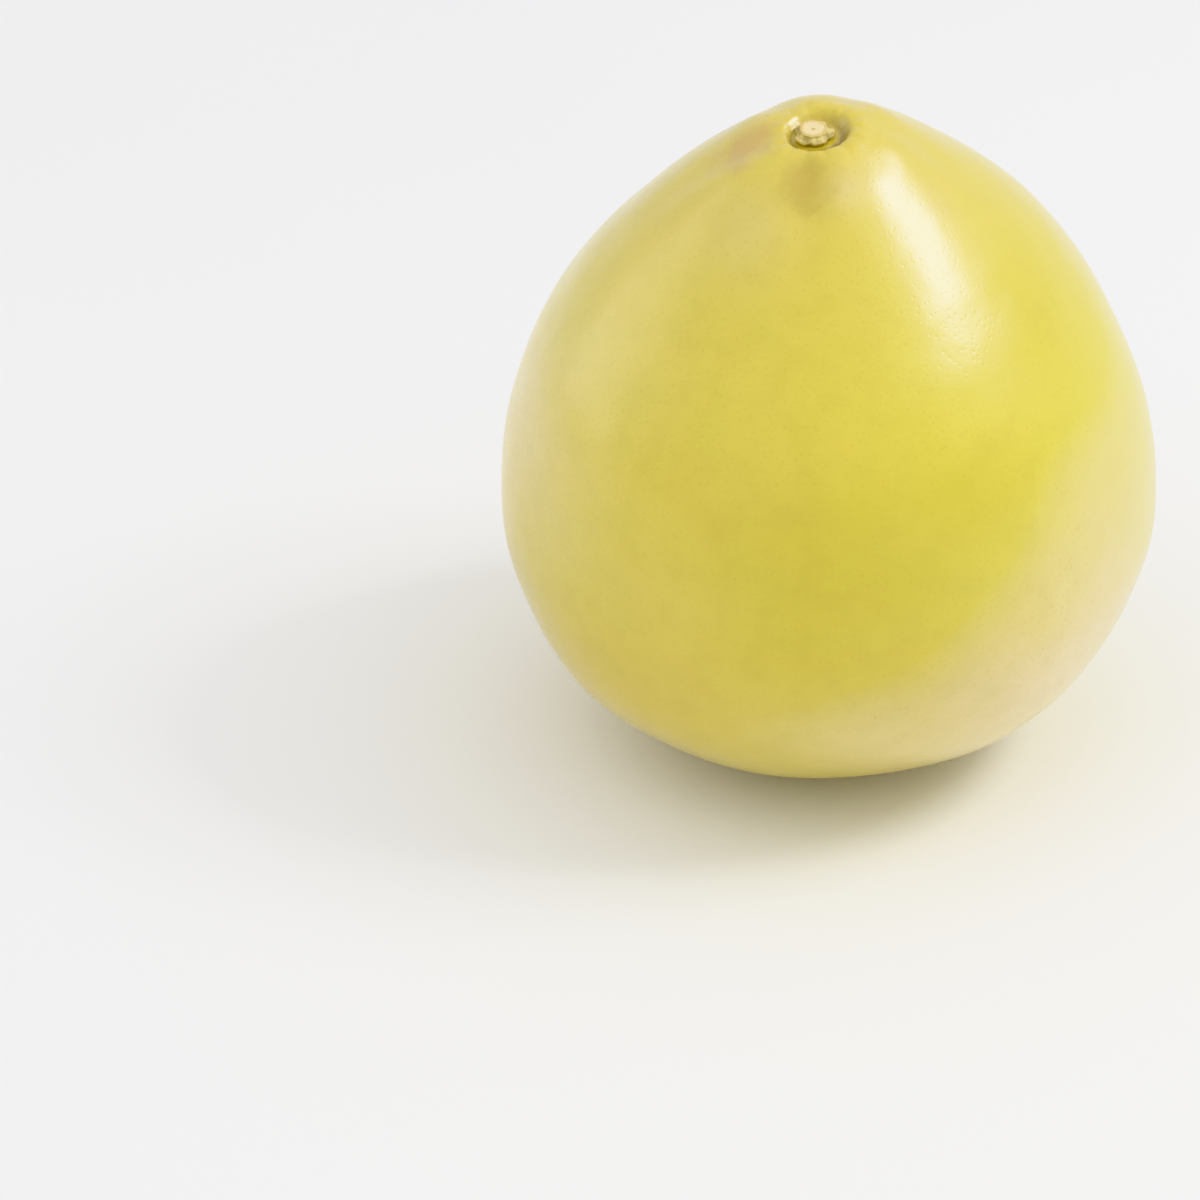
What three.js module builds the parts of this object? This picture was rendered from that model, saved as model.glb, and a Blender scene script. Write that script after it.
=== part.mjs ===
// A whole ripe pomelo, standing on its blossom end as it does on a table.
// Millimetres, +Z up. The origin is under the middle of the fruit, in the plane it rests on.
// Its front is -Y. The rind, pith and flesh grew as one piece, so the fruit is one solid.
// The calyx and the clipped stub of the stalk are a woody piece that sits in the stem pit.
import * as THREE from "three";
import { mergeVertices } from "three/addons/utils/BufferGeometryUtils.js";

const fruit = {
  width: 154.2, // across the belt, before the swells and the oval
  height: 163.8, // from the table to the middle of the stem pit's rim
  heartHeight: 72, // swells and furrows are raised and sunk in line with this point of the axis
  ovalShare: 0.006, // the belt is this share longer one way and shorter the other
  ovalAngle: 35, // degrees from +X, the long way across
  lean: [-4.6, -11.2], // the stem end sits this far off the middle, along X and Y
  tilt: [0.08, 0.17], // its rim rises this much for each millimetre along X and Y
  bendFrom: 60, // height where lean and tilt start
  bendTo: 158, // height where they are whole
  footRadius: 14, // the small flat that it rests on
  calmWidth: 24, // beyond the foot and the pit the swells grow to full size over this distance
  segments: 64,
  ringsPerSpan: 3,
};

// The side from the edge of the foot to the crown, as shares of the half width and the height.
const side = [
  [0.18, 0],
  [0.386, 0.028],
  [0.605, 0.067],
  [0.793, 0.135],
  [0.922, 0.221],
  [0.992, 0.326],
  [0.995, 0.425],
  [0.96, 0.537],
  [0.872, 0.655],
  [0.736, 0.756],
  [0.597, 0.83],
  [0.446, 0.898],
  [0.328, 0.946],
  [0.246, 0.976],
  [0.155, 0.997],
];

// The stem pit, each point as a radius and a depth below the rim, from the lip to the floor.
const pitWall = [
  [8.4, 0.2],
  [7.4, 0.8],
  [6.7, 1.7],
  [6.1, 2.6],
];
const pitDepth = 2.6;

// The dimple that the flower left, in the middle of the foot.
const dimple = { radius: 5, depth: 1.6, rings: 4 };

// Broad swells of the rind: the way each runs, its length from crest to crest, height and start.
const swells = [
  { way: [0.8, 0.5, 0.33], length: 92, height: 0.4, start: 0.4 },
  { way: [-0.45, 0.75, 0.48], length: 74, height: 0.35, start: 2.1 },
  { way: [0.35, -0.6, 0.72], length: 57, height: 0.3, start: 4.4 },
  { way: [0.9, -0.35, -0.25], length: 45, height: 0.2, start: 1.2 },
];

// Furrows that run down from the stem end: degrees from +X, the radius where each is deepest at
// its start, the radius where it has run out, its half width and its depth.
const furrows = [
  { angle: -99, from: 12, to: 38, halfWidth: 4.6, depth: 1.3 },
  { angle: -176, from: 12, to: 44, halfWidth: 5.2, depth: 1.4 },
  { angle: 128, from: 12, to: 40, halfWidth: 4.6, depth: 0.9 },
  { angle: 66, from: 13, to: 34, halfWidth: 4.4, depth: 0.6 },
  { angle: 8, from: 14, to: 42, halfWidth: 5, depth: 0.8 },
  { angle: -30, from: 13, to: 30, halfWidth: 5, depth: 0.3 },
];
const furrowRise = 5; // a furrow reaches its depth this far beyond the lip of the pit
const shoulderHeight = 110; // furrows and the calm of the crown belong above this height

const button = {
  calyxRadius: 4.5,
  lobes: 5,
  lobeShare: 0.06, // the sepals reach out, and the notches in, by this share of the radius
  calyxHeight: 1.2,
  stalkRadius: 3.2,
  height: 2.1, // from its seat to the cut of the stalk
  cutDish: 0.25, // the cut has dried hollow
  seatGap: 0.3,
  offset: [-0.8, 0.6], // it sits a little back and to the left in the pit
  segments: 40,
};

const degrees = THREE.MathUtils.degToRad;
const smoothstep = THREE.MathUtils.smoothstep;

// Moves a point of the upright fruit to where the lean and the tilt of the stem end take it.
function bend(point) {
  const { lean, tilt, bendFrom, bendTo } = fruit;
  const share = smoothstep(point.z, bendFrom, bendTo);
  const rise = tilt[0] * point.x + tilt[1] * point.y;
  return point.add(new THREE.Vector3(...lean, rise).multiplyScalar(share));
}

// The half section, from the blossom end on the axis out to the belt and up to the pit's floor.
function fruitOutline() {
  const points = [];
  for (let ring = 0; ring <= dimple.rings; ring++) {
    const out = ring / dimple.rings;
    const rise = (dimple.depth * (1 + Math.cos(Math.PI * out))) / 2;
    points.push(new THREE.Vector2(dimple.radius * out, rise));
  }
  const halfWidth = fruit.width / 2;
  const above = side.map(
    ([out, up]) => new THREE.Vector2(out * halfWidth, up * fruit.height),
  );
  const inside = pitWall.map(
    ([radius, depth]) => new THREE.Vector2(radius, fruit.height - depth),
  );
  const curve = new THREE.SplineCurve([...above, ...inside]);
  const spans = above.length + inside.length - 1;
  points.push(...curve.getPoints(spans * fruit.ringsPerSpan));
  points.push(new THREE.Vector2(0, fruit.height - pitDepth));
  return points;
}

// How far the rind stands out of the plain outline at a point of it.
function swellAt(point) {
  return swells.reduce((sum, { way, length, height, start }) => {
    const along = point.dot(new THREE.Vector3(...way).normalize());
    return sum + height * Math.sin((2 * Math.PI * along) / length + start);
  }, 0);
}

// How far the furrows sink the rind at a point of the plain outline.
function furrowAt(point) {
  const radius = Math.hypot(point.x, point.y);
  const turn = Math.atan2(point.y, point.x);
  return furrows.reduce((sum, { angle, from, to, halfWidth, depth }) => {
    const off = Math.abs(turn - degrees(angle));
    const across = (radius * Math.min(off, 2 * Math.PI - off)) / halfWidth;
    const along =
      smoothstep(radius, from - furrowRise, from) * (1 - smoothstep(radius, from, to));
    return sum + depth * along * Math.exp(-across * across);
  }, 0);
}

// One closed mesh whose shared vertices are merged, with its normals worked out afresh.
function finished(geometry) {
  geometry.deleteAttribute("normal");
  geometry.deleteAttribute("uv");
  const merged = mergeVertices(geometry);
  merged.computeVertexNormals();
  return merged;
}

function fruitGeometry() {
  const geometry = new THREE.LatheGeometry(fruitOutline(), fruit.segments);
  geometry.rotateX(Math.PI / 2);
  const heart = new THREE.Vector3(0, 0, fruit.heartHeight);
  const place = geometry.attributes.position;
  const point = new THREE.Vector3();
  for (let i = 0; i < place.count; i++) {
    point.fromBufferAttribute(place, i);
    const radius = Math.hypot(point.x, point.y);
    const isCrown = point.z > shoulderHeight;
    const calm = isCrown
      ? smoothstep(radius, pitWall[0][0], pitWall[0][0] + fruit.calmWidth)
      : smoothstep(radius, fruit.footRadius, fruit.footRadius + fruit.calmWidth);
    const relief = calm * swellAt(point) - (isCrown ? furrowAt(point) : 0);
    const turn = Math.atan2(point.y, point.x) - degrees(fruit.ovalAngle);
    const oval = 1 + calm * fruit.ovalShare * Math.cos(2 * turn);
    const outward = point.clone().sub(heart).normalize();
    point.set(point.x * oval, point.y * oval, point.z).addScaledVector(outward, relief);
    place.setXYZ(i, ...bend(point));
  }
  return finished(geometry);
}

function buttonGeometry() {
  const { calyxRadius, calyxHeight, stalkRadius, height, cutDish } = button;
  const profile = [
    [0, 0],
    [calyxRadius * 0.9, 0],
    [calyxRadius, calyxHeight * 0.3],
    [calyxRadius * 0.98, calyxHeight * 0.6],
    [calyxRadius * 0.86, calyxHeight * 0.86],
    [stalkRadius * 1.12, calyxHeight],
    [stalkRadius, calyxHeight * 1.3],
    [stalkRadius * 1.02, height - cutDish],
    [stalkRadius * 0.92, height],
    [stalkRadius * 0.5, height - cutDish * 0.7],
    [0, height - cutDish],
  ].map(([radius, up]) => new THREE.Vector2(radius, up));
  const geometry = new THREE.LatheGeometry(profile, button.segments);
  geometry.rotateX(Math.PI / 2);
  const place = geometry.attributes.position;
  for (let i = 0; i < place.count; i++) {
    const [x, y, z] = [place.getX(i), place.getY(i), place.getZ(i)];
    const inSepals = 1 - smoothstep(z, calyxHeight * 0.6, calyxHeight);
    const isOut = smoothstep(Math.hypot(x, y), stalkRadius, calyxRadius);
    const wave = Math.cos(button.lobes * Math.atan2(y, x));
    const lobe = 1 + button.lobeShare * inSepals * isOut * wave;
    place.setXYZ(i, x * lobe, y * lobe, z);
  }
  return finished(geometry);
}

const rind = new THREE.Mesh(
  fruitGeometry(),
  new THREE.MeshStandardMaterial({ color: 0xdccb56, roughness: 0.45, metalness: 0 }),
);
rind.name = "fruit";

const stem = new THREE.Mesh(
  buttonGeometry(),
  new THREE.MeshStandardMaterial({ color: 0xb59a68, roughness: 0.8, metalness: 0 }),
);
stem.name = "stem_button";
const seatHeight = fruit.height - pitDepth + button.seatGap;
stem.position.copy(bend(new THREE.Vector3(...button.offset, seatHeight)));
const pitAxis = new THREE.Vector3(-fruit.tilt[0], -fruit.tilt[1], 1).normalize();
stem.quaternion.setFromUnitVectors(new THREE.Vector3(0, 0, 1), pitAxis);

const pomelo = new THREE.Group();
pomelo.name = "pomelo";
pomelo.add(rind, stem);

export default pomelo;
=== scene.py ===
import math

import bpy
import numpy as np
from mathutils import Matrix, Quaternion, Vector, noise


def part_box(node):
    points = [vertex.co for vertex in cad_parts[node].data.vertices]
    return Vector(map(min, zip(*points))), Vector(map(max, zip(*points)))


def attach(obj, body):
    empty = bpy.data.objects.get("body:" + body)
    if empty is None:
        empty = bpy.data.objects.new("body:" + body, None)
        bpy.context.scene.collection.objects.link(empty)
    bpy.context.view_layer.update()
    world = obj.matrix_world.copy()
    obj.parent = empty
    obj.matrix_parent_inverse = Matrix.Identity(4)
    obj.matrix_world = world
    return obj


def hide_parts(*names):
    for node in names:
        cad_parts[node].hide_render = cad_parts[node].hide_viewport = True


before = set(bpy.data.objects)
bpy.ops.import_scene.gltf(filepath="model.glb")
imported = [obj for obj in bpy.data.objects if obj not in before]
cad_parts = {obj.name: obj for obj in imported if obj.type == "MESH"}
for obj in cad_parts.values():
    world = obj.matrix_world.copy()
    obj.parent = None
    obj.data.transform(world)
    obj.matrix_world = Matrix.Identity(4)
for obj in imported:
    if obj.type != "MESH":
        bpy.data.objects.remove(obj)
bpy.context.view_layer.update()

millimetre = 0.001  # shapes are worked out in millimetres, and Blender's unit here is the metre


# Helpers for shapes

def smoothstep(value, low, high):
    share = np.clip((value - low) / (high - low), 0, 1)
    return share * share * (3 - 2 * share)


def curveThrough(points, steps):
    # an even curve through all points, with this many steps from one to the next
    points = np.array(points, float)
    padded = np.vstack([points[:1], points, points[-1:]])
    t = np.linspace(0, 1, steps, endpoint=False)[:, None]
    runs = []
    for a, b, c, d in zip(padded, padded[1:], padded[2:], padded[3:]):
        leave, arrive = (c - a) / 2, (d - b) / 2
        cubic = (2 * b - 2 * c + leave + arrive) * t**3
        square = (3 * c - 3 * b - 2 * leave - arrive) * t**2
        runs.append(cubic + square + leave * t + b)
    return np.vstack([*runs, points[-1:]])


def softNoise(points, size, seed):
    # noise from about -1 to 1, with lumps this many millimetres across; each use has its own seed
    seedStep = Vector((17.3, 5.1, 9.7))
    return np.array([noise.noise(Vector(p) / size + seedStep * seed) for p in points])


def layeredNoise(points, layers, firstSeed):
    # lumps of several sizes added up; each layer is a size and a height
    return sum(
        height * softNoise(points, size, firstSeed + number)
        for number, (size, height) in enumerate(layers)
    )


def quadBall(cuts):
    # directions and faces of a ball made of six square nets, so it has no poles
    lines = np.tan(np.linspace(-math.pi / 4, math.pi / 4, cuts + 1))
    first, second = np.meshgrid(lines, lines, indexing="ij")
    ahead = np.ones_like(first)
    nets = []
    for turn in range(3):
        nets.append(np.roll(np.stack([ahead, first, second], -1), turn, axis=-1))
        nets.append(np.roll(np.stack([-ahead, second, first], -1), turn, axis=-1))
    points = np.concatenate([net.reshape(-1, 3) for net in nets])
    points /= np.linalg.norm(points, axis=1)[:, None]
    number = np.arange((cuts + 1) ** 2).reshape(cuts + 1, cuts + 1)
    corners = [number[:-1, :-1], number[1:, :-1], number[1:, 1:], number[:-1, 1:]]
    net = np.stack(corners, -1).reshape(-1, 4)
    faces = np.concatenate([net + side * number.size for side in range(6)])
    welded, place = np.unique(points.round(6), axis=0, return_inverse=True)
    return welded / np.linalg.norm(welded, axis=1)[:, None], place.reshape(-1)[faces]


def revolved(profile, turns):
    # a closed round body from a profile that starts and ends on the axis
    radius, height = profile[1:-1].T
    angle = np.arange(turns) * 2 * math.pi / turns
    rings = np.stack([
        radius[:, None] * np.cos(angle),
        radius[:, None] * np.sin(angle),
        np.repeat(height[:, None], turns, axis=1),
    ], -1)
    points = np.vstack([rings.reshape(-1, 3), [0, 0, profile[0][1]], [0, 0, profile[-1][1]]])
    here = np.arange(turns)
    after = (here + 1) % turns
    faces = []
    for ring in range(len(radius) - 1):
        low, high = ring * turns, (ring + 1) * turns
        faces += np.stack([low + here, low + after, high + after, high + here], -1).tolist()
    top = (len(radius) - 1) * turns
    bottomTip, topTip = len(points) - 2, len(points) - 1
    faces += [[bottomTip, int(b), int(a)] for a, b in zip(here, after)]
    faces += [[topTip, int(top + a), int(top + b)] for a, b in zip(here, after)]
    return points, faces


def meshPiece(name, points, faces, **marks):
    # points in millimetres; each mark is a value at each point, which a material can read
    mesh = bpy.data.meshes.new(name)
    mesh.from_pydata((points * millimetre).tolist(), [], faces)
    for mark, values in marks.items():
        layer = mesh.attributes.new(mark, "FLOAT", "POINT")
        layer.data.foreach_set("value", np.asarray(values, np.float32))
    mesh.shade_smooth()
    piece = bpy.data.objects.new(name, mesh)
    bpy.context.scene.collection.objects.link(piece)
    return piece


# Helpers for materials

def fromHex(code):
    # sRGB hex to the linear values that Blender's sockets hold
    shares = [int(code[i:i + 2], 16) / 255 for i in (1, 3, 5)]
    linear = [s / 12.92 if s <= 0.04045 else ((s + 0.055) / 1.055) ** 2.4 for s in shares]
    return (*linear, 1)


def every(size):
    # texture scale of a pattern that repeats every so many millimetres
    return 1 / (size * millimetre)


mixFactor, mixA, mixB, mixResult = 0, 6, 7, 2  # the colour sockets of a Mix node


def addNode(tree, kind, inputs=(), stops=(), **settings):
    node = tree.nodes.new(kind)
    for name, value in settings.items():
        setattr(node, name, value)
    for name, value in dict(inputs).items():
        if isinstance(value, bpy.types.NodeSocket):
            tree.links.new(value, node.inputs[name])
        else:
            node.inputs[name].default_value = value
    if stops:
        elements = node.color_ramp.elements
        while len(elements) < len(stops):
            elements.new(1)
        for element, (place, code) in zip(elements, stops):
            element.position = place
            element.color = fromHex(code)
    return node


def newMaterial(name):
    material = bpy.data.materials.new(name)
    material.use_nodes = True
    material.node_tree.nodes.clear()
    return material, material.node_tree


def shown(tree, shader):
    addNode(tree, "ShaderNodeOutputMaterial", {"Surface": shader.outputs["BSDF"]})


# The rind of the pomelo

rindShape = {
    "width": 154.2,  # across the belt, before the swells and the oval
    "height": 163.8,  # from the table to the middle of the stem pit's rim
    "heart": 72,  # height on the axis that all relief is raised from
    "side": [  # from the foot's edge to the crown, shares of the half width and the height
        (0.18, 0), (0.386, 0.028), (0.605, 0.067), (0.793, 0.135), (0.922, 0.221),
        (0.992, 0.326), (0.995, 0.425), (0.96, 0.537), (0.872, 0.655), (0.736, 0.756),
        (0.597, 0.83), (0.446, 0.898), (0.328, 0.946), (0.246, 0.976), (0.155, 0.997),
    ],
    "pit": [(8.4, 0.2), (7.4, 0.8), (6.7, 1.7), (6.1, 2.6)],  # radius and depth, lip to floor
    "dimple": (5, 1.6),  # radius and depth of what the flower left in the foot
    "ovalShare": 0.006,
    "ovalAngle": 35,
    "lean": (-4.6, -11.2),  # the stem end is this far off the middle
    "tilt": (0.08, 0.17),  # and its rim rises this much a millimetre to the right and back
    "bend": (60, 158),  # heights between which lean and tilt grow
    "calmWidth": 24,  # swells reach full size this far beyond the foot and the pit
    "shoulder": 110,  # the crown is above this height
    "swells": [  # way, crest to crest, height, start
        ((0.8, 0.5, 0.33), 92, 0.4, 0.4),
        ((-0.45, 0.75, 0.48), 74, 0.35, 2.1),
        ((0.35, -0.6, 0.72), 57, 0.3, 4.4),
        ((0.9, -0.35, -0.25), 45, 0.2, 1.2),
    ],
    "furrows": [  # degrees from the right, deepest radius, last radius, half width, depth
        (-99, 12, 38, 4.6, 1.3),
        (-176, 12, 44, 5.2, 1.4),
        (128, 12, 40, 4.6, 0.9),
        (66, 13, 34, 4.4, 0.6),
        (8, 14, 42, 5, 0.8),
        (-30, 13, 30, 5, 0.3),
    ],
    "stainsAndShade": [  # degrees from the right, radius, size, tan stain above 0 and olive painted shade below
        (-98, 16, 6, -1),
        (-178, 16.4, 6.5, 1),
        (58, 15, 4, 0.35),
        (141, 24, 5, 0.4),
        (-24, 30, 4.5, -0.3),
    ],
    "stainAndShadeEdge": (0.25, 1.5),  # a stain, and a patch of painted shade, fades out between these shares of its size
    "stainAndShadeRagged": [(5, 0.45), (2, 0.2)],  # sizes and strengths of what frays its edge
    "paintedPitShade": (5.8, 1.4, -55, 0.45),  # painted shade in the pit round the calyx: radius, width, darkest way and by how much
    "scar": 4.6,  # radius of the corky scar in the dimple
    "pitShadeAndScarRagged": [(1.6, 0.5)],  # what frays the painted pit shade and the scar
    # and the deeper ones painted shade; round the back they are the rind's own tone
    # on the front and sides the paler tints are painted reflection of the white floor and
    # surroundings,
    "tintsAndPaintedLight": [  # degrees from the right, height, size, paler above 0 and deeper below
        (-39, 46, 50, 1),
        (-80, 44, 28, 0.45),
        (-86, 78, 34, -0.85),
        (-100, 9, 22, -0.8),
        (-25, 97, 22, 0.2),
        (-62, 98, 22, -0.5),
        (-27, 127, 26, -0.9),
        (-166, 94, 28, 0.5),
        (-150, 118, 30, 0.15),
        (-122, 154, 14, 0.28),
        (-68, 160, 7, 0.5),
        (78, 58, 38, 0.7),
        (150, 98, 32, -0.6),
        (18, 108, 30, -0.35),
        (116, 30, 26, 0.6),
    ],
    "tintFalloff": 1.6,  # how fast a tint fades beyond its middle
    "tintRagged": [(26, 0.25), (9, 0.06)],  # what frays its edge
    "furrowRise": 5,  # a furrow reaches its depth over this distance
    "furrowWander": 0.08,  # radians that a furrow strays from its straight line
    "furrowWave": 6.5,  # and over what length
    "uneven": [(24, 0.22), (10, 0.08), (4.5, 0.03)],  # size and height of finer unevenness
    "unevenRise": (0.8, 1.6),  # it grows between these shares of the foot's and the pit's radius
    "puckers": (14, 0.35, 8.8, 2.6),  # creases round the pit: count, depth, radius, spread
    "puckerRise": (5.8, 8.6),  # they start between these radii
    "puckerBends": (1.6, 6, 0.9, 3),  # noise, its size, a slower wave and how often that repeats
    "puckerUneven": (9, 0.6),  # some are deeper: size and share
    "wrinkles": (2.2, 0.22),  # dry skin by the calyx: size and height
    "wrinkleBand": (3, 6, 8, 13),  # they rise between two radii and fade between two more
    "spanSteps": 24,  # points on the outline from one of its given points to the next
    "flatSteps": 12,  # and across the foot
    "floorSteps": 8,  # and across the floor of the pit
    "cuts": 128,  # quads along each of the six nets
    "crowding": 0.45,  # how much closer the quads stand towards the stem end
}


def fruitOutline(shape):
    # half section from the blossom end on the axis, out and up, to the floor of the pit
    half = np.array([shape["width"] / 2, shape["height"]])
    dimpleRadius, dimpleDepth = shape["dimple"]
    out = np.linspace(0, 1, shape["spanSteps"])
    dimple = np.stack([dimpleRadius * out, dimpleDepth * (1 + np.cos(np.pi * out)) / 2], -1)
    footRadius = shape["side"][0][0] * half[0]
    across = np.linspace(dimpleRadius, footRadius, shape["flatSteps"])
    foot = [(radius, 0) for radius in across[1:-1]]
    side = [tuple(np.array(share) * half) for share in shape["side"]]
    pit = [(radius, shape["height"] - depth) for radius, depth in shape["pit"]]
    inwards = np.linspace(pit[-1][0], 0, shape["floorSteps"])
    floor = [(radius, pit[-1][1]) for radius in inwards[1:]]
    return np.vstack([dimple, foot, curveThrough([*side, *pit], shape["spanSteps"]), floor])


def onOutline(directions, shape):
    # each direction from the heart meets the turned outline at one point
    outline = fruitOutline(shape) - (0, shape["heart"])
    polar = np.arctan2(outline[:, 0], outline[:, 1])
    reach = np.hypot(*outline.T)
    order = np.argsort(polar)
    even = np.arccos(np.clip(directions[:, 2], -1, 1))
    lift = even - shape["crowding"] * np.sin(even)
    turn = np.arctan2(directions[:, 1], directions[:, 0])
    distance = np.interp(lift, polar[order], reach[order])
    return np.stack([
        distance * np.sin(lift) * np.cos(turn),
        distance * np.sin(lift) * np.sin(turn),
        distance * np.cos(lift) + shape["heart"],
    ], -1)


def furrowsAt(points, shape):
    # how deep the furrows are here
    radius = np.hypot(points[:, 0], points[:, 1])
    turn = np.arctan2(points[:, 1], points[:, 0])
    depthHere = np.zeros(len(points))
    apart = 1.9  # radians, so that no two furrows wander alike
    for number, (angle, start, end, halfWidth, depth) in enumerate(shape["furrows"]):
        wave = np.sin((radius - start) / shape["furrowWave"] + number * apart)
        stray = shape["furrowWander"] * wave * (radius > start)
        off = np.abs(turn - math.radians(angle) - stray)
        off = np.minimum(off, 2 * math.pi - off)
        across = np.exp(-(radius * off / halfWidth) ** 2)
        rise = smoothstep(radius, start - shape["furrowRise"], start)
        along = rise * (1 - smoothstep(radius, start, end)) * (points[:, 2] > shape["shoulder"])
        depthHere += depth * across * along
    return depthHere


def puckersAt(points, shape):
    # how deep the creases round the pit are here
    radius = np.hypot(points[:, 0], points[:, 1])
    turn = np.arctan2(points[:, 1], points[:, 0])
    onCrown = points[:, 2] > shape["shoulder"]
    count, depth, at, spread = shape["puckers"]
    noiseBend, noiseSize, slowBend, slowCount = shape["puckerBends"]
    bent = noiseBend * softNoise(points, noiseSize, 5) + slowBend * np.sin(slowCount * turn)
    crease = np.clip(np.cos(count * turn + bent), 0, 1) ** 2
    ring = np.exp(-((radius - at) / spread) ** 2) * onCrown
    ring *= smoothstep(radius, *shape["puckerRise"])
    unevenSize, unevenShare = shape["puckerUneven"]
    return depth * ring * crease * (1 + unevenShare * softNoise(points, unevenSize, 6))


def wrinklesAt(points, shape):
    # how high the dry skin beside the calyx stands here
    radius = np.hypot(points[:, 0], points[:, 1])
    onCrown = points[:, 2] > shape["shoulder"]
    riseFrom, riseTo, fadeFrom, fadeTo = shape["wrinkleBand"]
    band = smoothstep(radius, riseFrom, riseTo) * (1 - smoothstep(radius, fadeFrom, fadeTo))
    size, height = shape["wrinkles"]
    return height * band * onCrown * softNoise(points, size, 16)


def stainsAndShadeAt(points, shape):
    # how the crown is marked here, from 1, tan stain, to -1, olive painted shade in the furrows,
    # with ragged edges
    ragged = layeredNoise(points, shape["stainAndShadeRagged"], 11)
    onCrown = points[:, 2] > shape["shoulder"]
    stainedAndShaded = np.zeros(len(points))
    for angle, radius, size, strength in shape["stainsAndShade"]:
        turn = math.radians(angle)
        off = points[:, :2] - radius * np.array([math.cos(turn), math.sin(turn)])
        near = np.hypot(*off.T) / size + ragged
        stainedAndShaded += strength * (1 - smoothstep(near, *shape["stainAndShadeEdge"])) * onCrown
    return np.clip(stainedAndShaded, -1, 1)


def pitShadeAndScarAt(points, shape):
    # from 0 to 1: painted shade in the pit round the calyx, and the brown corky scar at the base
    radius = np.hypot(points[:, 0], points[:, 1])
    onCrown = points[:, 2] > shape["shoulder"]
    at, width, way, share = shape["paintedPitShade"]
    turn = np.arctan2(points[:, 1], points[:, 0]) - math.radians(way)
    ragged = layeredNoise(points, shape["pitShadeAndScarRagged"], 15)
    paintedPitShade = np.exp(-((radius - at) / width + ragged) ** 2) * (1 - share + share * np.cos(turn))
    scarFrom, scarTo, scarRagged = 0.5, 1.1, 0.3  # shares of the scar's radius
    scar = 1 - smoothstep(radius / shape["scar"] + scarRagged * ragged, scarFrom, scarTo)
    return np.clip(np.where(onCrown, paintedPitShade, scar), 0, 1)


def tintsAndPaintedLightAt(points, shape):
    # how much paler or deeper the rind is here, from 1 to -1; on the front and sides this is
    # painted reflection and painted shade
    halfWidth, tall = shape["width"] / 2, shape["height"]
    outs, ups = np.array(shape["side"]).T * [[halfWidth], [tall]]
    ragged = layeredNoise(points, shape["tintRagged"], 13)
    tintedWithPaintedLight = np.zeros(len(points))
    for angle, height, size, strength in shape["tintsAndPaintedLight"]:
        turn, out = math.radians(angle), np.interp(height, ups, outs)
        middle = np.array([out * math.cos(turn), out * math.sin(turn), height])
        near = np.linalg.norm(points - middle, axis=1) / size + ragged
        tintedWithPaintedLight += strength * np.exp(-shape["tintFalloff"] * np.clip(near, 0, None) ** 2)
    return np.clip(tintedWithPaintedLight, -1, 1)


def bend(points, shape):
    # leans and tilts the stem end of an upright fruit
    share = smoothstep(points[:, 2], *shape["bend"])
    rise = points[:, :2] @ np.array(shape["tilt"])
    across = np.array(shape["lean"])
    return points + share[:, None] * np.column_stack([np.tile(across, (len(points), 1)), rise])


def growRind(shape):
    directions, faces = quadBall(shape["cuts"])
    plain = onOutline(directions, shape)
    radius = np.hypot(plain[:, 0], plain[:, 1])
    turn = np.arctan2(plain[:, 1], plain[:, 0])
    onCrown = plain[:, 2] > shape["shoulder"]
    pitLip = shape["pit"][0][0]
    footEdge = shape["side"][0][0] * shape["width"] / 2
    calmFrom = np.where(onCrown, pitLip, footEdge)
    calm = smoothstep(radius, calmFrom, calmFrom + shape["calmWidth"])
    relief = np.zeros(len(plain))
    for way, length, height, start in shape["swells"]:
        along = plain @ (np.array(way) / np.linalg.norm(way))
        relief += calm * height * np.sin(2 * math.pi * along / length + start)
    unevenFrom, unevenTo = shape["unevenRise"]
    fineCalm = smoothstep(radius, calmFrom * unevenFrom, calmFrom * unevenTo)
    relief += fineCalm * layeredNoise(plain, shape["uneven"], 1)
    relief -= furrowsAt(plain, shape)
    relief -= puckersAt(plain, shape)
    relief += wrinklesAt(plain, shape)
    heart = np.array([0, 0, shape["heart"]])
    outward = (plain - heart) / np.linalg.norm(plain - heart, axis=1)[:, None]
    ovalTurn = turn - math.radians(shape["ovalAngle"])
    oval = 1 + calm * shape["ovalShare"] * np.cos(2 * ovalTurn)
    points = plain * np.stack([oval, oval, np.ones(len(plain))], -1) + outward * relief[:, None]
    marks = {
        "crownPatch": stainsAndShadeAt(plain, shape),
        "tintAndPaintedLight": tintsAndPaintedLightAt(plain, shape),
        # the bark mark holds painted shade in the pit and the scar at the base
        "bark": pitShadeAndScarAt(plain, shape),
    }
    return bend(points, shape), faces, marks


def fitToBox(points, low, high):
    # the last fraction of a millimetre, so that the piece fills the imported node's box
    lowest, highest = points.min(0), points.max(0)
    share = (points - lowest) / (highest - lowest)
    return (np.array(low) + share * (np.array(high) - np.array(low))) / millimetre


rindPoints, rindFaces, rindMarks = growRind(rindShape)
rindPoints = fitToBox(rindPoints, *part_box("fruit"))
rind = meshPiece("pomelo_rind", rindPoints, rindFaces.tolist(), **rindMarks)
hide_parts("fruit")
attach(rind, "root")
print("rind grown,", len(rindFaces) * 2, "triangles")


# The calyx and the clipped stalk

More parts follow.
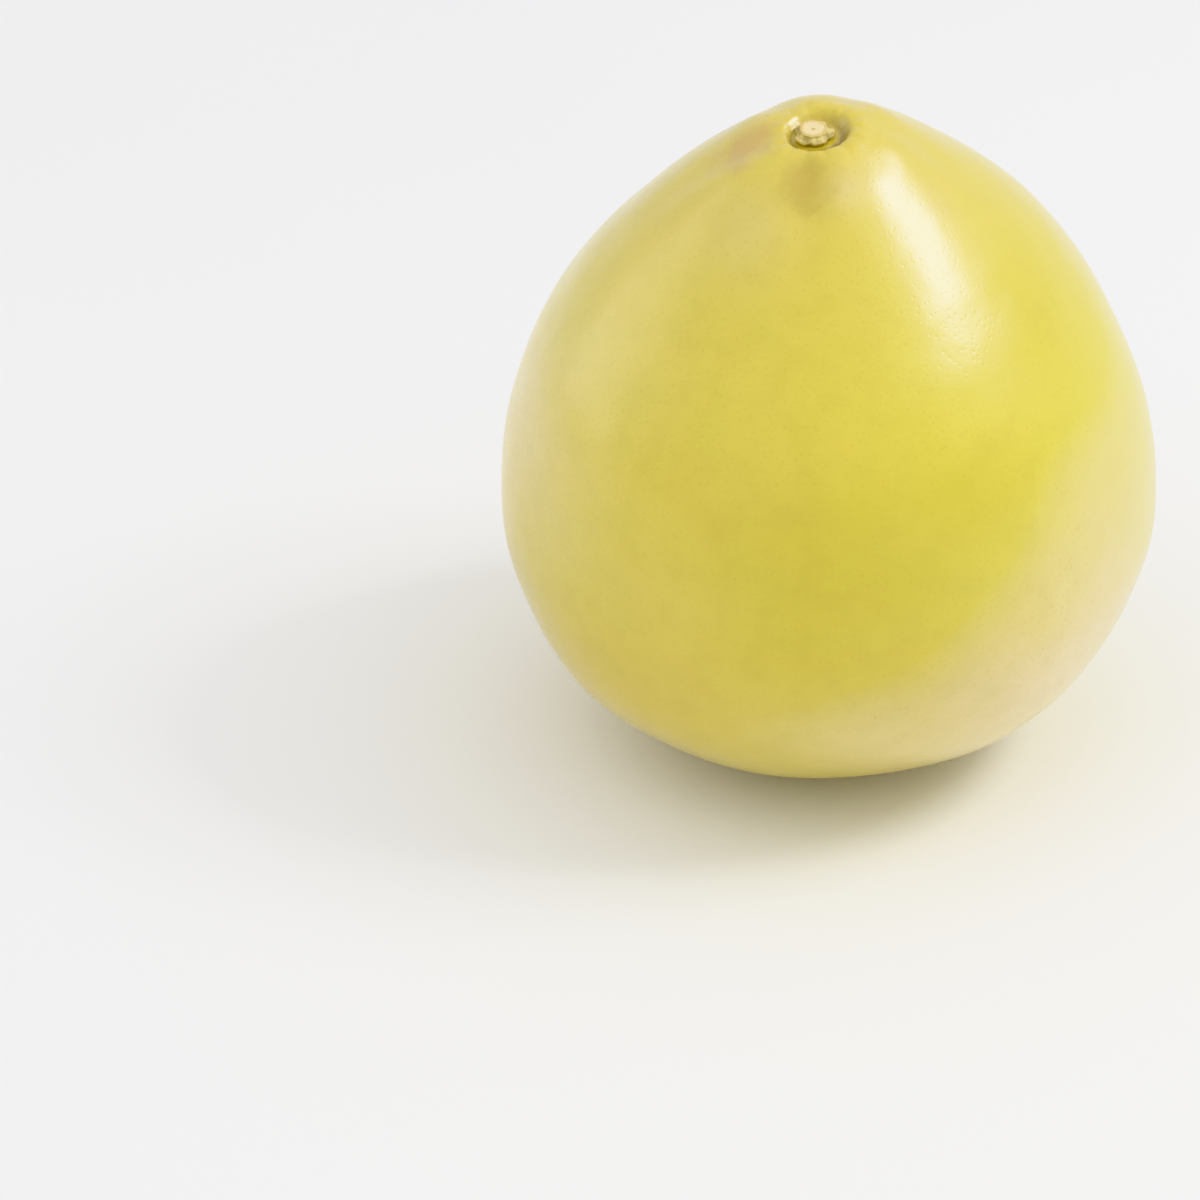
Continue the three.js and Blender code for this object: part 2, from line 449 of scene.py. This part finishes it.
buttonShape = {
    "calyxRadius": 4.5,
    "calyxHeight": 1.2,
    "lobes": 5,
    "lobeShare": 0.06,
    "stalkRadius": 3.2,
    "height": 2.1,
    "cutDish": 0.25,
    "notchShare": 0.16,  # how far the slits between the withered sepals reach in
    "slitSharpness": 8,
    "curl": 0.22,  # their tips turn up by this
    "folds": (31, 0.05),  # of the sepals: count and height
    "ridges": (11, 0.06),  # of the bark round the stub: count and height
    "slant": 0.16,  # the clippers cut it this much out of level
    "rays": (23, 0.035),  # of the wood on the cut: count and height
    "outOfRound": [(2, 0.6, 0.05), (3, 0, 0.03)],  # waves round it, start and share
    "barkLumps": (1.4, 0.06),  # outwards: size and height
    "lumps": [(0.8, 0.07), (2.2, 0.12)],  # up and down, except on its seat
    "seat": 0.3,  # nothing below this height is roughened
    "turns": 180,
    "steps": 9,
}


def growButton(shape):
    wide, thick = shape["calyxRadius"], shape["calyxHeight"]
    stalk, tall, dish = shape["stalkRadius"], shape["height"], shape["cutDish"]
    outline = curveThrough([
        (0, 0), (wide * 0.5, 0), (wide * 0.9, 0), (wide, thick * 0.3), (wide * 0.98, thick * 0.6),
        (wide * 0.86, thick * 0.86), (stalk * 1.12, thick), (stalk, thick * 1.3),
        (stalk * 1.02, tall - dish), (stalk * 0.92, tall), (stalk * 0.5, tall - dish * 0.7),
        (0, tall - dish),
    ], shape["steps"])
    outline[0], outline[-1] = (0, 0), (0, tall - dish)
    points, faces = revolved(outline, shape["turns"])
    radius = np.hypot(points[:, 0], points[:, 1])
    turn = np.arctan2(points[:, 1], points[:, 0])
    height = points[:, 2].copy()
    inSepals = 1 - smoothstep(height, thick * 0.7, thick)
    isOut = smoothstep(radius, stalk, wide)
    slitWay = shape["lobes"] * turn / 2 + 0.25 * np.sin(turn)  # the sepals aren't quite alike
    slit = np.abs(np.sin(slitWay)) ** shape["slitSharpness"]
    lobe = 1 + inSepals * isOut * (shape["lobeShare"] - shape["notchShare"] * slit)
    # outwards: bark ridges, and out of round
    cutEdge = stalk * 0.97
    bark = smoothstep(height, thick * 0.5, thick) * smoothstep(radius, stalk * 0.8, cutEdge)
    ridgeCount, ridgeHeight = shape["ridges"]
    ridge = ridgeHeight * bark * np.sin(ridgeCount * turn + 1.2 * np.sin(2 * turn) + height)
    lumpSize, lumpHeight = shape["barkLumps"]
    knobbly = (ridge + lumpHeight * softNoise(points, lumpSize, 8)) / np.maximum(radius, 1)
    oval = 1 + sum(
        share * np.cos(waves * turn + start) for waves, start, share in shape["outOfRound"]
    )
    points[:, :2] *= (lobe * oval + knobbly)[:, None]
    # shares of the stalk's radius on its cut face, and 2 on the bark
    onCut = (height > tall - 1.2 * dish) & (radius < cutEdge)
    ring = np.where(onCut, radius / stalk, 2)
    # up and down: lumps, folds and curl of the sepals, wood rays, and the slant of the cut
    foldCount, foldHeight = shape["folds"]
    folds = foldHeight * isOut * inSepals * np.sin(foldCount * turn + 3 * np.sin(4 * turn))
    rough = (layeredNoise(points, shape["lumps"], 9) + folds) * (height > shape["seat"])
    curl = shape["curl"] * isOut * inSepals * (1 - slit) * smoothstep(height, 0, thick * 0.5)
    rayCount, rayHeight = shape["rays"]
    rays = rayHeight * onCut * radius / stalk * np.sin(rayCount * turn + 2 * np.sin(5 * turn))
    slant = shape["slant"] * smoothstep(height, thick, tall) * points[:, 0] / stalk
    points[:, 2] += rough + curl + rays - slant
    slopeRight, slopeBack = rindShape["tilt"]
    pitAxis = Vector((-slopeRight, -slopeBack, 1))
    upright = Vector((0, 0, 1)).rotation_difference(pitAxis).to_matrix()
    return points @ np.array(upright).T, faces, ring


buttonPoints, buttonFaces, cutRing = growButton(buttonShape)
buttonPoints = fitToBox(buttonPoints, *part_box("stem_button"))
button = meshPiece("calyx_and_stalk", buttonPoints, buttonFaces, ring=cutRing)
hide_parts("stem_button")
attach(button, "root")
print("calyx and stalk grown,", len(buttonFaces) * 2, "triangles")


# Materials

rindLook = {
    "ripe": "#d5c437",
    "green": "#d0c43a",
    "golden": "#dbc444",
    "blossomEnd": "#d0b850",
    "belt": "#bda424",
    "shoulders": "#d8ca40",
    "crown": "#ceb456",
    "paintedKeySide": "#d6cb38",
    "paintedFarSide": "#d9c45c",
    "paleAndReflection": "#e0cda3",
    "deepAndShade": "#cbbb1a",
    "gland": "#c0a92a",
    "crownPatch": "#c09a68",
    # olive of the painted shade in the furrows of the crown
    "shadeOlive": "#ab9238",
    # brown of the scar at the base, and of the painted shade in the pit
    "bark": "#86692e",
    "speck": "#93793a",
    "mottle": "#fafaf4",
    "heightShare": 0.55,  # how much of the tone comes from the height on the fruit
    "sideShare": 0.4,  # and from the side of it
    "tintShare": 0.8,  # how strongly the tints show, and the others after them
    "stainAndShadeShare": 0.6,
    "glandShare": 0.2,
    "speckShare": 0.5,
    "speckSpacing": 15,  # mm
    "speckRadius": 0.55,
    "blotchSize": 52,  # of riper and greener yellow
    "mottleSize": 7,
    "wornSize": 18,  # of the patches with less wax
    "glandSpacing": 1.4,  # mm from one oil gland to the next
    "glandRadius": (0.42, 0.78),  # from the smallest to the largest
    "glandDepth": 0.022,
    "grainSize": 0.5,
    "grainDepth": 0.004,
    "roughness": (0.4, 0.5),
    "waxWeight": 1,
    "waxRoughness": 0.24,
}


def waxedPomeloRind(look):
    # Citrus rind, washed and waxed: pale even yellow, broad soft sheen, tiny dimpled oil glands
    material, tree = newMaterial("waxed_pomelo_rind")
    place = addNode(tree, "ShaderNodeTexCoord").outputs["Object"]
    ways = addNode(tree, "ShaderNodeSeparateXYZ", {0: place})
    across, height = ways.outputs["X"], ways.outputs["Z"]

    # broad blotches of riper and greener yellow
    blotch = addNode(tree, "ShaderNodeTexNoise", {
        "Vector": place, "Scale": every(look["blotchSize"]), "Detail": 2,
    })
    ripeness = addNode(tree, "ShaderNodeValToRGB", {0: blotch.outputs[0]}, [
        (0.34, look["green"]), (0.5, look["ripe"]), (0.68, look["golden"]),
    ])
    # the tone changes with height, partly as painted shade: deepest at the belt, clear on the
    # shoulders, duller at the ends
    rise = addNode(tree, "ShaderNodeMapRange", {
        "Value": height, "From Min": 0, "From Max": rindShape["height"] * millimetre,
    })
    ends = addNode(tree, "ShaderNodeValToRGB", {0: rise.outputs[0]}, [
        (0.02, look["blossomEnd"]), (0.3, look["belt"]), (0.7, look["shoulders"]),
        (0.98, look["crown"]),
    ])
    grown = addNode(tree, "ShaderNodeMix", {
        mixFactor: look["heightShare"], mixA: ripeness.outputs[0], mixB: ends.outputs[0],
    }, data_type="RGBA")
    # painted light: the right side, towards the key light, a clearer lemon yellow, and the left
    # side paler and beige
    half = rindShape["width"] / 2 * millimetre
    towardsKey = addNode(tree, "ShaderNodeMapRange", {
        "Value": across, "From Min": -half, "From Max": half,
    }, interpolation_type="SMOOTHSTEP")
    sides = addNode(tree, "ShaderNodeMix", {
        mixFactor: towardsKey.outputs[0], mixA: fromHex(look["paintedFarSide"]),
        mixB: fromHex(look["paintedKeySide"]),
    }, data_type="RGBA")
    tone = addNode(tree, "ShaderNodeMix", {
        mixFactor: look["sideShare"], mixA: grown.outputs[mixResult],
        mixB: sides.outputs[mixResult],
    }, data_type="RGBA")

    # paler patches of painted reflection of the white floor and surroundings, and deeper ones of
    # painted shade, on the front and sides; at the back, the rind's own tone
    tintAndPaintedLight = addNode(tree, "ShaderNodeAttribute", attribute_name="tintAndPaintedLight").outputs["Fac"]
    paleAndReflectionShare = addNode(tree, "ShaderNodeMapRange", {
        "Value": tintAndPaintedLight, "To Max": look["tintShare"],
    })
    deepAndShadeShare = addNode(tree, "ShaderNodeMapRange", {
        "Value": tintAndPaintedLight, "From Max": -1, "To Max": look["tintShare"],
    })
    paledAndReflecting = addNode(tree, "ShaderNodeMix", {
        mixFactor: paleAndReflectionShare.outputs[0], mixA: tone.outputs[mixResult],
        mixB: fromHex(look["paleAndReflection"]),
    }, data_type="RGBA")
    tintedWithPaintedLight = addNode(tree, "ShaderNodeMix", {
        mixFactor: deepAndShadeShare.outputs[0], mixA: paledAndReflecting.outputs[mixResult],
        mixB: fromHex(look["deepAndShade"]),
    }, data_type="RGBA")

    # faint mottling
    mottle = addNode(tree, "ShaderNodeTexNoise", {
        "Vector": place, "Scale": every(look["mottleSize"]), "Detail": 3,
    })
    shade = addNode(tree, "ShaderNodeValToRGB", {0: mottle.outputs[0]}, [
        (0.3, look["mottle"]), (0.6, "#ffffff"),
    ])
    mottled = addNode(tree, "ShaderNodeMix", {
        mixFactor: 1, mixA: tintedWithPaintedLight.outputs[mixResult], mixB: shade.outputs[0],
    }, data_type="RGBA", blend_type="MULTIPLY")

    # oil glands, darker in the middle
    glands = addNode(tree, "ShaderNodeTexVoronoi", {
        "Vector": place, "Scale": every(look["glandSpacing"]), "Randomness": 0.85,
    })
    draw = addNode(tree, "ShaderNodeSeparateColor", {0: glands.outputs["Color"]})
    small, large = (radius / look["glandSpacing"] for radius in look["glandRadius"])
    glandEdge = addNode(tree, "ShaderNodeMapRange", {
        "Value": draw.outputs[0], "To Min": small, "To Max": large,
    })
    gland = addNode(tree, "ShaderNodeMapRange", {
        "Value": glands.outputs["Distance"], "From Min": glandEdge.outputs[0], "From Max": 0,
    }, interpolation_type="SMOOTHSTEP")
    glandShare = addNode(tree, "ShaderNodeMath", {
        0: gland.outputs[0], 1: look["glandShare"],
    }, operation="MULTIPLY")
    dotted = addNode(tree, "ShaderNodeMix", {
        mixFactor: glandShare.outputs[0], mixA: mottled.outputs[mixResult],
        mixB: fromHex(look["gland"]),
    }, data_type="RGBA")

    # dull tan stains, and olive painted shade, in the furrows of the crown
    crownPatch = addNode(tree, "ShaderNodeAttribute", attribute_name="crownPatch").outputs["Fac"]
    tanShare = addNode(tree, "ShaderNodeMapRange", {
        "Value": crownPatch, "To Max": look["stainAndShadeShare"],
    })
    shadeOliveShare = addNode(tree, "ShaderNodeMapRange", {
        "Value": crownPatch, "From Max": -1, "To Max": look["stainAndShadeShare"],
    })
    tanned = addNode(tree, "ShaderNodeMix", {
        mixFactor: tanShare.outputs[0], mixA: dotted.outputs[mixResult],
        mixB: fromHex(look["crownPatch"]),
    }, data_type="RGBA")
    stainedAndShaded = addNode(tree, "ShaderNodeMix", {
        mixFactor: shadeOliveShare.outputs[0], mixA: tanned.outputs[mixResult],
        mixB: fromHex(look["shadeOlive"]),
    }, data_type="RGBA")
    # painted shade in the pit round the calyx, and the brown corky scar at the base
    bark = addNode(tree, "ShaderNodeAttribute", attribute_name="bark").outputs["Fac"]
    shadedAndScarred = addNode(tree, "ShaderNodeMix", {
        mixFactor: bark, mixA: stainedAndShaded.outputs[mixResult], mixB: fromHex(look["bark"]),
    }, data_type="RGBA")

    # a few tiny brown specks, where the rind runs through the middle of a cell
    spots = addNode(tree, "ShaderNodeTexVoronoi", {
        "Vector": place, "Scale": every(look["speckSpacing"]), "Randomness": 1,
    })
    chance = addNode(tree, "ShaderNodeSeparateColor", {0: spots.outputs["Color"]})
    speckSize = addNode(tree, "ShaderNodeMapRange", {
        "Value": chance.outputs[0], "From Min": 0.35, "From Max": 1,
        "To Min": 0, "To Max": look["speckRadius"] / look["speckSpacing"],
    })
    speckEdge = addNode(tree, "ShaderNodeMath", {
        0: speckSize.outputs[0], 1: spots.outputs["Distance"],
    }, operation="SUBTRACT")
    speck = addNode(tree, "ShaderNodeMapRange", {
        "Value": speckEdge.outputs[0], "From Max": 0.015, "To Max": look["speckShare"],
    })
    specked = addNode(tree, "ShaderNodeMix", {
        mixFactor: speck.outputs[0], mixA: shadedAndScarred.outputs[mixResult],
        mixB: fromHex(look["speck"]),
    }, data_type="RGBA")

    # sheen is a little duller in patches where the wax has rubbed off
    worn = addNode(tree, "ShaderNodeTexNoise", {
        "Vector": place, "Scale": every(look["wornSize"]), "Detail": 4,
    })
    low, high = look["roughness"]
    roughness = addNode(tree, "ShaderNodeMapRange", {
        "Value": worn.outputs[0], "From Min": 0.35, "From Max": 0.65,
        "To Min": low, "To Max": high,
    })

    # dimples of the glands, then a grain finer than them
    dimples = addNode(tree, "ShaderNodeBump", {
        "Height": gland.outputs[0], "Strength": 1, "Distance": look["glandDepth"] * millimetre,
    }, invert=True)
    grain = addNode(tree, "ShaderNodeTexNoise", {
        "Vector": place, "Scale": every(look["grainSize"]), "Detail": 2,
    })
    relief = addNode(tree, "ShaderNodeBump", {
        "Height": grain.outputs[0], "Strength": 1, "Distance": look["grainDepth"] * millimetre,
        "Normal": dimples.outputs[0],
    })
    shader = addNode(tree, "ShaderNodeBsdfPrincipled", {
        "Base Color": specked.outputs[mixResult],
        "Roughness": roughness.outputs[0],
        "IOR": 1.46,
        "Normal": relief.outputs[0],
        "Coat Weight": look["waxWeight"],
        "Coat Roughness": look["waxRoughness"],
        "Coat IOR": 1.5,
        "Coat Normal": relief.outputs[0],
    })
    shown(tree, shader)
    return material


stalkLook = {
    "bark": "#dcca84",
    "barkDark": "#9c8b50",
    "wood": "#efdca8",
    "pith": "#c4a76c",
    "ring": "#d2b87a",
    "mottleSize": 2,  # mm
    "fibreSize": 0.4,
    "fibreDepth": 0.1,
    "roughness": 0.8,
}


def driedCalyxAndCutStalk(look):
    # Dried straw-coloured calyx with a stalk clipped clean: matt bark, pale fibrous cut
    material, tree = newMaterial("dried_calyx_and_cut_stalk")
    place = addNode(tree, "ShaderNodeTexCoord").outputs["Object"]
    coarse = addNode(tree, "ShaderNodeTexNoise", {
        "Vector": place, "Scale": every(look["mottleSize"]), "Detail": 5,
    })
    bark = addNode(tree, "ShaderNodeValToRGB", {0: coarse.outputs[0]}, [
        (0.3, look["barkDark"]), (0.6, look["bark"]),
    ])
    # the cut: dark pith in the middle, pale wood, and a darker ring under the bark
    ring = addNode(tree, "ShaderNodeAttribute", attribute_name="ring").outputs["Fac"]
    frayed = addNode(tree, "ShaderNodeMath", {
        0: coarse.outputs[0], 1: 0.3, 2: ring,
    }, operation="MULTIPLY_ADD")
    wood = addNode(tree, "ShaderNodeValToRGB", {0: frayed.outputs[0]}, [
        (0.2, look["pith"]), (0.36, look["wood"]), (0.88, look["wood"]), (1, look["ring"]),
    ])
    isBark = addNode(tree, "ShaderNodeMapRange", {"Value": ring, "From Min": 1, "From Max": 1.4})
    tone = addNode(tree, "ShaderNodeMix", {
        mixFactor: isBark.outputs[0], mixA: wood.outputs[0], mixB: bark.outputs[0],
    }, data_type="RGBA")
    fibres = addNode(tree, "ShaderNodeTexNoise", {
        "Vector": place, "Scale": every(look["fibreSize"]), "Detail": 3,
    })
    relief = addNode(tree, "ShaderNodeBump", {
        "Height": fibres.outputs[0], "Strength": 1, "Distance": look["fibreDepth"] * millimetre,
    })
    shader = addNode(tree, "ShaderNodeBsdfPrincipled", {
        "Base Color": tone.outputs[mixResult],
        "Roughness": look["roughness"],
        "Normal": relief.outputs[0],
    })
    shown(tree, shader)
    return material


floorLook = {
    "tones": ("#f4f4f6", "#f7f7f8"),
    "cloudSize": 400,  # mm
    "roughness": 0.9,
}


def paintedFloor(look):
    # Matt white studio floor, painted
    material, tree = newMaterial("matt_white_painted_floor")
    place = addNode(tree, "ShaderNodeTexCoord").outputs["Object"]
    cloud = addNode(tree, "ShaderNodeTexNoise", {
        "Vector": place, "Scale": every(look["cloudSize"]),
    })
    darker, lighter = look["tones"]
    tone = addNode(tree, "ShaderNodeValToRGB", {0: cloud.outputs[0]}, [
        (0.3, darker), (0.7, lighter),
    ])
    shader = addNode(tree, "ShaderNodeBsdfPrincipled", {
        "Base Color": tone.outputs[0], "Roughness": look["roughness"],
    })
    shown(tree, shader)
    return material


rind.data.materials.append(waxedPomeloRind(rindLook))
button.data.materials.append(driedCalyxAndCutStalk(stalkLook))
print("materials made")


# Floor, light and camera

studio = {
    "floorSide": 12,  # metres
    "worldColour": "#ffffff",
    "worldStrength": 0.86,
    "lights": [  # name, degrees right, elevation, roll, distance, width, height, watts
        ("key_softbox", 90, 47, -62, 1.2, 0.32, 0.46, 6),
        ("sheen_card", 90, 46, -62, 1.19, 0.3, 0.45, 7),
        ("crown_card", 117, 50, -62, 1.19, 0.28, 0.3, 2.1),
        ("left_card", -100, 18, 0, 1.3, 0.8, 0.8, 2),
        ("front_fill", -52, 50, 0, 1.6, 1.3, 1.3, 3.6),
    ],
}

shot = {
    "elevation": 30,  # degrees, from the middle of the fruit up to the lens
    "distance": 1.25,  # metres
    "sensor": 36,  # mm
    "imageSide": 1200,  # pixels
    "middlePixel": (825.2, 435.3),  # where the middle of the outline shows
    "widthPixels": 651.5,  # how wide the outline shows
    "middleHeight": 75.8,  # mm, the point on the axis that shows at the middle of the outline
}


def fromCamera(degreesRight, elevation, distance):
    # a place at this angle to the right of the camera, as seen from above
    turn, rise = math.radians(degreesRight - 90), math.radians(elevation)
    level = distance * math.cos(rise)
    return Vector((level * math.cos(turn), level * math.sin(turn), distance * math.sin(rise)))


def aimed(name, data, place, target, roll=0):
    thing = bpy.data.objects.new(name, data)
    thing.location = place
    level = (target - place).to_track_quat("-Z", "Y")
    thing.rotation_euler = (level @ Quaternion((0, 0, 1), math.radians(roll))).to_euler()
    bpy.context.scene.collection.objects.link(thing)
    return thing


def buildStudio(studio, middle):
    half = studio["floorSide"] / 2
    corners = np.array([(-half, -half, 0), (half, -half, 0), (half, half, 0), (-half, half, 0)])
    floor = meshPiece("studio_floor", corners / millimetre, [(0, 1, 2, 3)])
    floor.data.materials.append(paintedFloor(floorLook))
    world = bpy.data.worlds.new("studio_air")
    world.use_nodes = True
    background = world.node_tree.nodes["Background"]
    background.inputs["Color"].default_value = fromHex(studio["worldColour"])
    background.inputs["Strength"].default_value = studio["worldStrength"]
    bpy.context.scene.world = world
    for name, right, elevation, roll, distance, width, height, watts in studio["lights"]:
        lamp = bpy.data.lights.new(name, "AREA")
        lamp.shape = "RECTANGLE"
        lamp.size, lamp.size_y = width, height
        lamp.energy = watts
        panel = aimed(name, lamp, middle + fromCamera(right, elevation, distance), middle, roll)
        panel.visible_camera = False
        panel.visible_diffuse = not name.endswith("card")  # the cards show only as gloss
        panel.visible_glossy = not name.endswith("fill")  # and the fill never does


def buildCamera(shot, middle):
    metresPerPixel = rindShape["width"] * millimetre / shot["widthPixels"]
    lens = bpy.data.cameras.new("camera")
    lens.sensor_width = shot["sensor"]
    lens.lens = shot["sensor"] * shot["distance"] / (metresPerPixel * shot["imageSide"])
    place = middle + fromCamera(0, shot["elevation"], shot["distance"])
    ahead = (middle - place).normalized()
    right = ahead.cross(Vector((0, 0, 1))).normalized()
    up = right.cross(ahead)
    centre = shot["imageSide"] / 2
    column, row = shot["middlePixel"]
    target = middle - right * (column - centre) * metresPerPixel
    target += up * (row - centre) * metresPerPixel
    bpy.context.scene.camera = aimed("camera", lens, place, target)


middle = Vector((0, 0, shot["middleHeight"] * millimetre))
buildStudio(studio, middle)
buildCamera(shot, middle)
bpy.context.scene.view_settings.view_transform = "Khronos PBR Neutral"
print("studio built")
